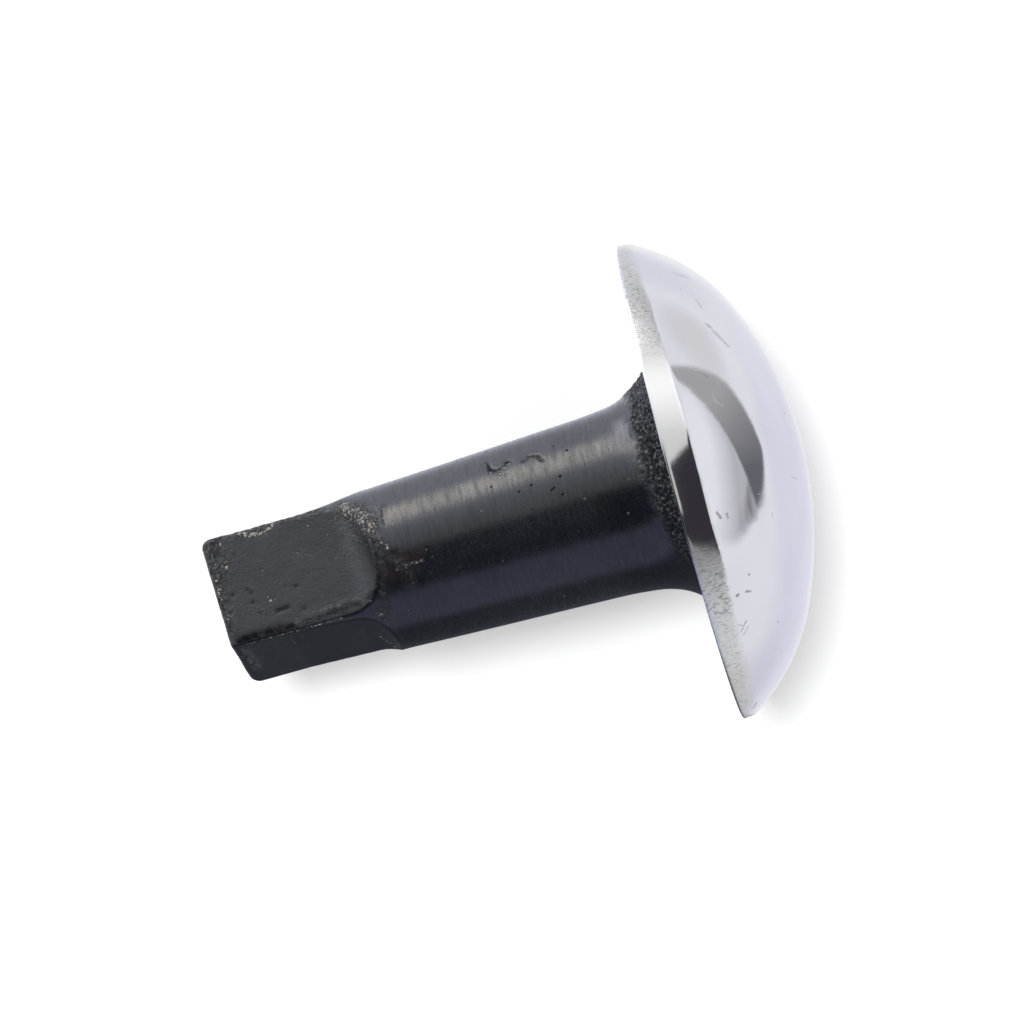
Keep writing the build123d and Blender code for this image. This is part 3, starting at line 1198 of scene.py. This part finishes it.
    def skin_radius(self, angle: np.ndarray, height: np.ndarray) -> np.ndarray:
        """The stem's outline, with its milled edges eased.

        Args:
            angle: Directions, in radians.
            height: Heights up the axis.

        Returns:
            The radius at each direction and height.
        """
        turned = self.round_radius(angle, height)
        least = 0.2  # a flat doesn't reach where it faces less than this much of the way
        total = np.ones_like(turned)
        for flat in self.flats:
            facing = np.cos(np.radians(angle_gap(angle, flat.side)))
            cut = flat.reach(self.foot_radius, angle, height) / np.maximum(facing, least)
            gap = np.clip(cut - turned, -6, 6)
            total = total + np.exp(-self.edge_sharpness * gap) * (facing > least)
        return turned - np.log(total) / self.edge_sharpness

    def set_back(self, rings: np.ndarray) -> np.ndarray:
        """How far each point moves up for the slanted sawn end, fading out up the tang.

        Args:
            rings: The stem's points, in millimetres.

        Returns:
            The moves, in millimetres.
        """
        reach = reach_towards(rings, self.slant_side)
        fallen = self.end_slant * np.clip(self.slant_from - reach, 0, None)
        return fallen * smooth_step(rings[..., 2], 12, 0)

    def rows(self, angle: np.ndarray) -> tuple[np.ndarray, np.ndarray, slice]:
        """Radius and height of every row, from the end's middle up to the spigot's top.

        Args:
            angle: Directions of the segments, in radians, in one row.

        Returns:
            Radius and height, rows by segments, and the rows that show outside.
        """
        soft = np.full_like(angle, self.end_radius)
        for corner in (self.proud_corner, -self.proud_corner - 90):
            soft += 0.5 * np.exp(-((angle_gap(angle, corner) / 14) ** 2))
        foot = self.skin_radius(angle, np.zeros((1, 1)))
        radii, heights = [], []
        end_rows = 11
        for share in np.linspace(0.05, 1, end_rows):
            radii.append(share * (foot - soft))
            heights.append(0 * angle)
        for turn in np.radians(np.linspace(0, 90, 9)[1:]):
            radii.append(foot - soft + soft * math.sin(turn))
            heights.append(soft * (1 - math.cos(turn)))
        join = self.end_radius + 2.4  # from here up, every row is level
        for share in np.linspace(0, 1, 12)[1:]:
            heights.append(soft + (join - soft) * share)
            radii.append(self.skin_radius(angle, heights[-1]))
        for level in np.linspace(join, self.shoulder, int((self.shoulder - join) / self.step))[1:]:
            heights.append(np.full_like(angle, level))
            radii.append(self.skin_radius(angle, heights[-1]))
        shown = slice(end_rows - 2, len(radii))
        spigot = self.spigot_radius
        for radius, level in [
            (spigot + 3, self.shoulder), (spigot, self.shoulder), (spigot, self.spigot_top - 0.8),
            (spigot - 0.8, self.spigot_top), (3.0, self.spigot_top),
        ]:
            radii.append(np.full_like(angle, radius))
            heights.append(np.full_like(angle, level))
        return np.concatenate(radii), np.concatenate(heights), shown

    def build(self) -> bpy.types.Object:
        """Make the stem, with the values that its enamel reads.

        Returns:
            The finished piece.
        """
        angle = np.linspace(0, FULL_TURN, self.segments, endpoint=False)[None, :]
        radius, height, outside = self.rows(angle)
        rings = around(radius, height, angle)
        shown = np.zeros((len(radius), 1))
        shown[outside] = 1
        crumbly = 0.8 + 0.7 * lumps(rings, 0.9, 4.0)
        wear = strongest(self.chips, angle, radius, height) * shown
        rough = np.clip(strongest(self.coarse, angle, radius, height) * crumbly, 0, 1) * shown
        dents = strongest(self.dents, angle, radius, height)
        grooves = strongest(self.grooves, angle, radius, height) * np.clip(crumbly + 0.2, 0.3, 1.2)
        milled = smooth_step(self.round_radius(angle, height) - radius, 0.05, 0.6)
        relief = (
            layered(rings, self.turned_waves) + milled * layered(rings, self.milled_waves)
            + rough * layered(rings, self.crumbs)
            - self.dent_depth * dents - self.groove_depth * grooves - self.chip_depth * wear
        ) * shown
        rings[..., 2] += self.set_back(rings)
        rings = rings + self._bowed(height)
        rings = rings + outward(rings) * relief[..., None]
        piece = skin_rings("stem_turned_and_enamelled", rings, Ends.POLES, {
            "wear": wear, "rough": rough, "milled": milled * shown,
            "stain": strongest(self.stains, angle, radius, height) * shown,
            # painted shade in grooves and dents, which the enamel darkens
            "painted_hollow_shade": np.clip(np.maximum(grooves, 0.8 * dents), 0, 0.95) * shown,
        })
        pits = [(self._on_round(turn, level), radius * MM) for turn, level, radius in self.pits]
        piece.data.materials.append(BlackEnamel().material("enamel_on_turned_steel", pits))
        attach(piece, "root")
        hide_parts("stem")
        return piece

    def _bowed(self, height: np.ndarray) -> np.ndarray:
        """Sideways shift of each point, because the stem is slightly bowed.

        Args:
            height: Heights up the axis.

        Returns:
            The shifts, in millimetres, with x, y and z last.
        """
        return self.bow * smooth_step(height, 30, self.weld_toe)[..., None] * compass(self.bow_side)

    def _on_round(self, direction: float, level: float) -> Vector:
        """Place on the turned round.

        Args:
            direction: Degrees round the axis.
            level: Height up the axis, in millimetres.

        Returns:
            The place, in metres.
        """
        turn, height = np.array([math.radians(direction)]), np.array([level])
        spot = around(self.round_radius(turn, height), height, turn) + self._bowed(height)
        return Vector(spot[0]) * MM


# ------------------------------------------------------------------------------ root weld
@dataclass
class RootWeld:
    """Fillet weld bead between stem and head: coarse and grainy near the head, dressed below.

    Sizes are in millimetres; the outer ones are read from the CAD node's box.
    """

    toe_height: float
    head_height: float
    outer_radius: float
    stem_radius: float
    toe_step: float  # the bead's lower edge stands this far over the stem
    bow: float  # all of the bead follows the bowed stem this far
    thrown_side: float
    throw: float = 0.35  # and its top the off-centre head
    top_lift: float = 0.4  # the bead runs this far into the leaning head
    hollow_radius: float = 12.0
    coarse_above: float = 3.8  # height above the toe at which the coarse part starts
    filed_side: float = 26.0  # direction in degrees in which the bead was filed smooth
    filed_reach: float = 36.0  # degrees to either side over which all of it was
    edge_swing: tuple[Layer, ...] = ((0.7, (4.0, 4.0, 40.0), 2.0), (0.5, 1.5, 5.0))
    heaped: float = 0.04  # the coarse part stands this far proud
    grains: tuple[Layer, ...] = ((0.22, 1.0, 1.0), (0.20, 0.5, 3.0))
    ripples: tuple[Layer, ...] = ((0.12, (2.6, 2.6, 3.5), 9.0),)
    dressed_waves: tuple[Layer, ...] = ((0.02, 5.0, 2.0),)
    segments: int = 620
    rows: int = 46  # rows of points up its face

    def face(self) -> np.ndarray:
        """The bead's hollow face.

        Returns:
            (radius, height) rows from the toe up to the head.
        """
        toe = np.array([self.stem_radius + self.toe_step, self.toe_height])
        head = np.array([self.outer_radius, self.head_height])
        chord = head - toe
        half = np.linalg.norm(chord) / 2
        away = np.array([chord[1], -chord[0]]) / (2 * half)
        centre = (toe + head) / 2 + away * math.sqrt(self.hollow_radius**2 - half**2)
        start = math.degrees(math.atan2(*(toe - centre)[::-1])) % 360
        end = math.degrees(math.atan2(*(head - centre)[::-1])) % 360
        buried = [(toe[0] - 0.15, toe[1] - 0.6)]  # so that the bead's own edge doesn't show
        arc = bend(tuple(centre), self.hollow_radius, start, end, self.rows - 1)
        return np.asarray(buried + arc)

    def build(self) -> bpy.types.Object:
        """Make the bead, with the "rough" value of its coarse part.

        Returns:
            The finished piece.
        """
        face = self.face()
        inner = arc_length(
            [(self.outer_radius, self.head_height), (self.stem_radius, self.head_height),
             (self.stem_radius, self.toe_height)], 1.6,
        )[1:]
        rows = np.concatenate([face, inner])
        angle = np.linspace(0, FULL_TURN, self.segments, endpoint=False)[None, :]
        radius = np.repeat(rows[:, :1], self.segments, 1)
        height = np.repeat(rows[:, 1:], self.segments, 1)
        rings = around(radius, height, angle)
        on_face = np.zeros((len(rows), 1))
        on_face[2 : self.rows - 1] = 1
        swing = layered(rings, self.edge_swing)
        filed = smooth_step(
            np.abs(angle_gap(angle, self.filed_side)), self.filed_reach + 56, self.filed_reach
        )
        coarse_from = self.toe_height + self.coarse_above + swing + 5.0 * filed
        coarse = smooth_step(height - coarse_from, -0.6, 1.4) * on_face
        welded = self.heaped + layered(rings, self.grains) + layered(rings, self.ripples)
        relief = coarse * welded + on_face * layered(rings, self.dressed_waves)
        rings = rings + outward(rings) * relief[..., None]
        rings[..., 2] = np.minimum(rings[..., 2], self.head_height)
        top = smooth_step(height, self.head_height - 1.5, self.head_height)
        rings[..., 2] += self.top_lift * top
        shift = self.bow + self.throw * smooth_step(height, self.toe_height, self.head_height)
        rings = rings + shift[..., None] * compass(self.thrown_side)
        piece = skin_rings("root_weld_bead", rings, Ends.LOOP, {"rough": coarse})
        piece.data.materials.append(BlackEnamel().material("enamel_on_weld"))
        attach(piece, "root")
        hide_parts("root_weld")
        return piece


# ------------------------------------------------------------------------------ studio
@dataclass(frozen=True)
class ViewBasis:
    """Where the camera looks from, and how it is rolled.

    Attributes:
        azimuth: Degrees round +Z; 0 looks along +Y.
        elevation: Degrees above the horizon.
        axis_slope: Degrees by which the stem's axis climbs to the right in the picture.
    """

    azimuth: float = 18.0
    elevation: float = 4.3
    axis_slope: float = 15.7

    @property
    def towards_camera_level(self) -> Vector:
        """Level direction from the object to the camera."""
        turn = math.radians(self.azimuth)
        return Vector((math.sin(turn), -math.cos(turn), 0))

    @property
    def beside(self) -> Vector:
        """Level direction across the stem, towards the upper left in the picture."""
        return self.towards_camera_level.cross(Vector((0, 0, 1)))

    @property
    def back(self) -> Vector:
        """Direction from the object to the camera."""
        tilt = math.radians(self.elevation)
        return self.towards_camera_level * math.cos(tilt) + Vector((0, 0, math.sin(tilt)))

    def right_and_up(self) -> tuple[Vector, Vector]:
        """The picture's directions.

        Returns:
            Its right and up.
        """
        along = (Vector((0, 0, 1)) - self.back * self.back.z).normalized()
        roll = math.radians(self.axis_slope)
        right = along * math.cos(roll) - self.beside * math.sin(roll)
        up = along * math.sin(roll) + self.beside * math.cos(roll)
        return right, up


@dataclass(frozen=True)
class Zone:
    """A lit or dark part of the room, as seen by reflections only.

    Attributes:
        turn: Middle and half width in degrees round the stem's axis, 0 towards the camera and
            positive towards the upper left of the picture.
        lift: Middle and half width in degrees above the plane across the stem's axis.
        soft: Width in degrees of turn over which it fades.
        colour: sRGB hex.
        strength: Brightness, where 1 is white paper.
        fan: Degrees by which its half width grows for each degree of lift.
        edge: Width in degrees of lift over which it fades.
    """

    turn: tuple[float, float]
    lift: tuple[float, float]
    soft: float
    colour: str
    strength: float
    fan: float = 0.0
    edge: float = 4.0


@dataclass(frozen=True)
class Disc:
    """A round part of the room, seen by reflections only.

    Attributes:
        centre: Degrees towards the camera and degrees towards the upper left from +Z.
        radius: Degrees.
        soft: Width in degrees over which its edge fades.
    """

    centre: tuple[float, float]
    radius: float
    soft: float = 2.0


@dataclass
class Studio:
    """Camera, paper, lamp and the room that the polished and painted steel reflect.

    Lengths are in millimetres.
    """

    basis: ViewBasis = field(default_factory=ViewBasis)
    distance: float = 700.0  # from the camera to the point it aims at
    lens: float = 163.5
    sensor: float = 36.0
    aim_left: float = 25.6  # the camera aims this far left of the head's underside
    aim_down: float = 3.91  # and this far below it
    paper_gap: float = 37.5  # paper lies this far behind the axis, at the head's edge
    paper_reach: float = 3000.0  # from its middle to each side
    paper_white: str = "F0F0F0"
    paper_glow: float = 0.24  # keeps the open paper white round the shadow
    plain_light: float = 0.56  # brightness of the room as the lit surfaces get it
    lamp_strength: float = 1.6
    lamp_angle: float = 11.0  # degrees across the lamp; more softens the shadow
    lamp_left: float = 0.15  # lamp's lean to the picture's left, per unit of depth
    lamp_up: float = 0.08  # and up
    zones: tuple[Zone, ...] = (
        Zone((-130.0, 45.0), (-44.0, 43.0), 6.0, "D6DAF0", 0.15),  # under the table's edge
        Zone((-60.0, 31.0), (-44.0, 43.0), 12.0, "B0BCDD", 1.15),  # blue wall on the far side
        Zone((140.0, 40.0), (-44.0, 43.0), 30.0, "E6EAF8", 1.3),  # wall behind the lamp
        Zone((80.0, 34.0), (-27.0, 25.0), 50.0, "ECEEFF", 2.55, edge=3.0),  # glow round the panel
        Zone((76.0, 13.0), (-27.0, 25.0), 14.0, "FFFDF8", 6.0, edge=3.0),  # the lamp's panel
        Zone((92.0, 18.0), (-36.0, 18.0), 20.0, "F4F4FF", 5.2, edge=10.0),  # and its foot
        Zone((-9.2, 27.8), (-44.0, 43.0), 10.0, "08080A", 1.0),  # the camera's opening, below
        Zone((47.0, 15.0), (14.0, 16.0), 30.0, "FFFFFF", 1.6),  # cloth beside the lamp's panel
        Zone((94.0, 17.0), (14.0, 16.0), 20.0, "FFFFFF", 0.72),  # and behind it
        Zone((-36.0, 14.0), (14.0, 16.0), 40.0, "FFFFFF", 0.42),  # shaded cloth by the opening
        Zone((-10.5, 15.8), (14.0, 16.0), 2.0, "3E3C43", 1.0, fan=0.68),  # and level with the head
        Zone((4.0, 16.0), (0.5, 3.5), 6.0, "FFFFFF", 0.85, edge=2.0),  # below its flap
    )
    roof_sheet: Disc = Disc((18.0, 3.0), 28.0, soft=7.0)  # thicker cloth, brighter to the camera
    tints: tuple[tuple[Disc, str], ...] = (  # softly tinted parts of the roof
        (Disc((-6.0, -11.5), 4.5, soft=3.5), "C4C4C4"),
        (Disc((-1.0, -14.5), 3.2, soft=4.0), "D8D8D8"),
        (Disc((5.0, -17.5), 3.0, soft=5.0), "EEEEEE"),
        (Disc((-50.0, -62.0), 18.0, soft=24.0), "F0F0F0"),
        (Disc((-65.0, -20.0), 20.0, soft=40.0), "EEEEF8"),
        (Disc((-18.0, 35.0), 10.0, soft=20.0), "EEEEEA"),
        (Disc((-60.0, 45.0), 12.0, soft=22.0), "F2F2F8"),
    )
    roof_near: float = 1.05  # brightness of the roof's cloth on the camera's side
    roof_far: float = 0.62  # and where it falls into shade
    roof_fade: tuple[float, float] = (0.07, 0.38)  # from far to near, 1 being level
    roof_skew: float = 0.25  # how much further the shade comes for each unit to the lower right
    gap_sides: tuple[Disc, ...] = (  # a gap in the tent's roof lies inside all three
        Disc((43.0, -46.0), 89.0, soft=3.5),
        Disc((8.0, 43.0), 58.5, soft=3.5),
        Disc((-65.0, 40.5), 75.0),
    )
    gap_right: str = "737377"  # the ceiling through the gap, towards the picture's lower right
    gap_left: str = "BCBCB8"  # and towards its upper left
    gap_fade: tuple[float, float] = (-0.05, 0.36)  # where one goes over to the other

    def build(self, aim_from: Vector) -> None:
        """Put up the whole studio.

        Args:
            aim_from: Centre of the head's underside, in metres.
        """
        self.camera(aim_from)
        self.paper()
        self.lamp()
        self.room()

    def camera(self, aim_from: Vector) -> None:
        """Put up the camera, square to the lying stake and a little towards the dome.

        Args:
            aim_from: Centre of the head's underside, in metres.
        """
        right, up = self.basis.right_and_up()
        back = self.basis.back
        aim = aim_from - right * self.aim_left * MM - up * self.aim_down * MM
        data = bpy.data.cameras.new("camera")
        data.lens = self.lens
        data.sensor_width = self.sensor
        data.clip_start, data.clip_end = 0.01, 20.0
        camera = bpy.data.objects.new("camera", data)
        turn = Matrix((right, up, back)).transposed().to_4x4()
        camera.matrix_world = Matrix.Translation(aim + back * self.distance * MM) @ turn
        bpy.context.scene.collection.objects.link(camera)
        bpy.context.scene.camera = camera

    def sheet(self) -> bpy.types.Object:
        """The paper's mesh, which lies square to the view, behind the stake.

        Returns:
            The new object, kept out of the model.
        """
        back = self.basis.back
        along = (Vector((0, 0, 1)) - back * back.z).normalized()
        half = self.paper_reach * MM
        corners = [(-half, -half), (half, -half), (half, half), (-half, half)]
        points = [
            back * -self.paper_gap * MM + along * x + self.basis.beside * y for x, y in corners
        ]
        mesh = bpy.data.meshes.new("paper_sweep")
        mesh.from_pydata(points, [], [(0, 1, 2, 3)])
        sheet = bpy.data.objects.new("paper_sweep", mesh)
        bpy.context.scene.collection.objects.link(sheet)
        return sheet

    def paper(self) -> None:
        """White paper behind the object, seen from the front only, which keeps its shadow."""
        paper = self.sheet()
        material, tree = new_material("white_paper")
        path = add_node(tree, "LightPath").outputs
        side = add_node(tree, "NewGeometry").outputs["Backfacing"]
        seen = add_node(
            tree, "Math", {0: path["Is Camera Ray"], 1: path["Is Glossy Ray"]}, operation="MAXIMUM"
        ).outputs[0]
        seen = add_node(
            tree, "Math", {0: seen, 1: path["Is Transmission Ray"]}, operation="MAXIMUM"
        ).outputs[0]
        lift = add_node(
            tree, "Math", {0: seen, 1: self.paper_glow}, operation="MULTIPLY"
        ).outputs[0]
        matt = add_node(tree, "BsdfDiffuse", {"Color": linear(self.paper_white)}).outputs[0]
        glow = add_node(tree, "Emission", {"Strength": lift}).outputs[0]
        front = add_node(tree, "AddShader", {0: matt, 1: glow}).outputs[0]
        behind = add_node(tree, "BsdfTransparent").outputs[0]
        both = add_node(tree, "MixShader", {0: side, 1: front, 2: behind}).outputs[0]
        add_node(tree, "OutputMaterial", {"Surface": both})
        paper.data.materials.append(material)
        paper.visible_glossy = False

    def lamp(self) -> None:
        """A broad lamp just beside the camera, which throws the soft shadow on the paper."""
        right, up = self.basis.right_and_up()
        towards = (self.basis.back - right * self.lamp_left + up * self.lamp_up).normalized()
        data = bpy.data.lights.new("soft_lamp", "SUN")
        data.energy = self.lamp_strength
        data.angle = math.radians(self.lamp_angle)
        lamp = bpy.data.objects.new("soft_lamp", data)
        lamp.rotation_mode = "QUATERNION"
        lamp.rotation_quaternion = towards.to_track_quat("Z", "Y")
        lamp.visible_glossy = False
        bpy.context.scene.collection.objects.link(lamp)

    def room(self) -> None:
        """White world for the camera, plain light for surfaces, a studio for reflections."""
        world = bpy.data.worlds.new("studio")
        world.use_nodes = True
        bpy.context.scene.world = world
        tree = world.node_tree
        tree.nodes.clear()
        path = add_node(tree, "LightPath").outputs
        direction = add_node(tree, "TexCoord").outputs["Generated"]
        seen = self._reflected(tree, direction)
        white = add_node(tree, "Background", {"Color": linear("FFFFFF"), "Strength": 1.0})
        plain = add_node(
            tree, "Background", {"Color": linear("FFFFFF"), "Strength": self.plain_light}
        )
        shown = add_node(tree, "Background", {"Color": seen, "Strength": 1.0})
        mirror = add_node(
            tree, "MixShader", {0: path["Is Glossy Ray"], 1: plain.outputs[0], 2: shown.outputs[0]}
        ).outputs[0]
        through = add_node(
            tree, "Math", {0: path["Is Camera Ray"], 1: path["Is Transmission Ray"]},
            operation="MAXIMUM",
        ).outputs[0]
        both = add_node(tree, "MixShader", {0: through, 1: mirror, 2: white.outputs[0]}).outputs[0]
        add_node(tree, "OutputWorld", {"Surface": both})

    def _reflected(self, tree: Tree, direction: Socket) -> Socket:
        """Colour of the room in each direction, as metal and gloss see it.

        Args:
            tree: The world's node tree.
            direction: Socket with the direction looked in.

        Returns:
            Socket with the colour.
        """
        towards, beside, up = (
            add_node(
                tree, "VectorMath", {0: direction, 1: axis}, operation="DOT_PRODUCT"
            ).outputs["Value"]
            for axis in (self.basis.towards_camera_level, self.basis.beside, Vector((0, 0, 1)))
        )
        turn = add_node(tree, "Math", {0: beside, 1: towards}, operation="ARCTAN2").outputs[0]
        lift = add_node(tree, "Math", {0: up}, operation="ARCSINE").outputs[0]
        colour: tuple | Socket = linear("FFFFFF")
        for zone in self.zones:
            half = add_node(
                tree, "Math", {0: lift, 1: zone.fan, 2: math.radians(zone.turn[1])},
                operation="MULTIPLY_ADD",
            ).outputs[0]
            across = self._window(tree, turn, zone.turn[0], half, zone.soft)
            along = self._window(tree, lift, zone.lift[0], math.radians(zone.lift[1]), zone.edge)
            share = add_node(tree, "Math", {0: across, 1: along}, operation="MULTIPLY").outputs[0]
            bright = tuple(c * zone.strength for c in linear(zone.colour)[:3]) + (1.0,)
            colour = add_node(
                tree, "Mix", {0: share, 6: colour, 7: bright}, data_type="RGBA"
            ).outputs[2]
        forward = add_node(
            tree, "Math", {0: beside, 1: self.roof_skew, 2: towards}, operation="MULTIPLY_ADD"
        ).outputs[0]
        cloth = add_node(
            tree, "MapRange",
            {"Value": forward, "From Min": self.roof_fade[0], "From Max": self.roof_fade[1],
             "To Min": self.roof_far, "To Max": self.roof_near},
        ).outputs["Result"]
        cloth = add_node(
            tree, "Mix",
            {0: self._disc(tree, direction, self.roof_sheet), 2: 1.0, 3: cloth}, data_type="FLOAT",
        ).outputs[0]
        colour = add_node(
            tree, "VectorMath", {0: colour, "Scale": cloth}, operation="SCALE"
        ).outputs[0]
        for disc, tint in self.tints:
            colour = add_node(
                tree, "Mix",
                {0: self._disc(tree, direction, disc), 6: colour, 7: linear(tint)},
                data_type="RGBA", blend_type="MULTIPLY",
            ).outputs[2]
        gap = self._disc(tree, direction, self.gap_sides[0])
        for side in self.gap_sides[1:]:
            gap = add_node(
                tree, "Math", {0: gap, 1: self._disc(tree, direction, side)}, operation="MULTIPLY"
            ).outputs[0]
        leftward = add_node(
            tree, "MapRange",
            {"Value": beside, "From Min": self.gap_fade[0], "From Max": self.gap_fade[1]},
        ).outputs["Result"]
        shade = add_node(
            tree, "Mix",
            {0: leftward, 6: linear(self.gap_right), 7: linear(self.gap_left)}, data_type="RGBA",
        ).outputs[2]
        return add_node(tree, "Mix", {0: gap, 6: colour, 7: shade}, data_type="RGBA").outputs[2]

    def _window(
        self, tree: Tree, angle: Socket, middle: float, half: float | Socket, soft: float
    ) -> Socket:
        """1 where an angle lies near a middle, fading over its edge.

        Args:
            tree: The world's node tree.
            angle: Socket with the angle, in radians.
            middle: Middle of the window, in degrees.
            half: Its half width in radians, as a number or a socket.
            soft: Width of its soft edge, in degrees.

        Returns:
            Socket with the share, 0 to 1.
        """
        off = add_node(
            tree, "Math", {0: angle, 1: math.radians(middle)}, operation="SUBTRACT"
        ).outputs[0]
        off = add_node(tree, "Math", {0: off}, operation="ABSOLUTE").outputs[0]
        past = add_node(tree, "Math", {0: off, 1: half}, operation="SUBTRACT").outputs[0]
        edge = math.radians(soft) / 2
        return add_node(
            tree, "MapRange", {"Value": past, "From Min": edge, "From Max": -edge},
            interpolation_type="SMOOTHSTEP",
        ).outputs["Result"]

    def _disc(self, tree: Tree, direction: Socket, disc: Disc) -> Socket:
        """1 inside a disc of directions, fading over its soft edge.

        Args:
            tree: The world's node tree.
            direction: Socket with the direction looked in.
            disc: The disc.

        Returns:
            Socket with the share, 0 to 1.
        """
        forward, side = disc.centre
        tilt = math.radians(math.hypot(forward, side))
        lean = self.basis.towards_camera_level * forward + self.basis.beside * side
        centre = Vector((0, 0, 1)) * math.cos(tilt) + lean.normalized() * math.sin(tilt)
        near = add_node(
            tree, "VectorMath", {0: direction, 1: centre}, operation="DOT_PRODUCT"
        ).outputs["Value"]
        return add_node(
            tree, "MapRange",
            {"Value": near, "From Min": math.cos(math.radians(disc.radius + disc.soft / 2)),
             "From Max": math.cos(math.radians(disc.radius - disc.soft / 2))},
            interpolation_type="SMOOTHSTEP",
        ).outputs["Result"]


# ------------------------------------------------------------------------------ main
def in_mm(node: str) -> tuple[Vector, Vector]:
    """A CAD node's lowest and highest corners, in millimetres."""
    low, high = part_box(node)
    return low / MM, high / MM


def main() -> None:
    logging.basicConfig(level=logging.INFO, format="%(message)s")
    head_low, head_high = in_mm("dome_head")
    stem_high = in_mm("stem")[1]
    weld_low, weld_high = in_mm("root_weld")
    head = DomeHead(radius=head_high.x, underside=head_low.z, crown=head_high.z)
    stem = Stem(
        shoulder=head_low.z, spigot_top=stem_high.z, weld_toe=weld_low.z, bow_side=head.thrown_side
    )
    weld = RootWeld(
        toe_height=weld_low.z, head_height=weld_high.z, outer_radius=weld_high.x,
        stem_radius=stem.root_radius, toe_step=stem.toe_step, bow=stem.bow,
        thrown_side=head.thrown_side,
    )
    for maker in (head, stem, weld):
        piece = maker.build()
        log.info("%s: %d faces", piece.name, len(piece.data.polygons))
    Studio().build(Vector((0, 0, head_low.z)) * MM)
    bpy.context.scene.view_settings.view_transform = "Standard"


if __name__ == "__main__":
    main()
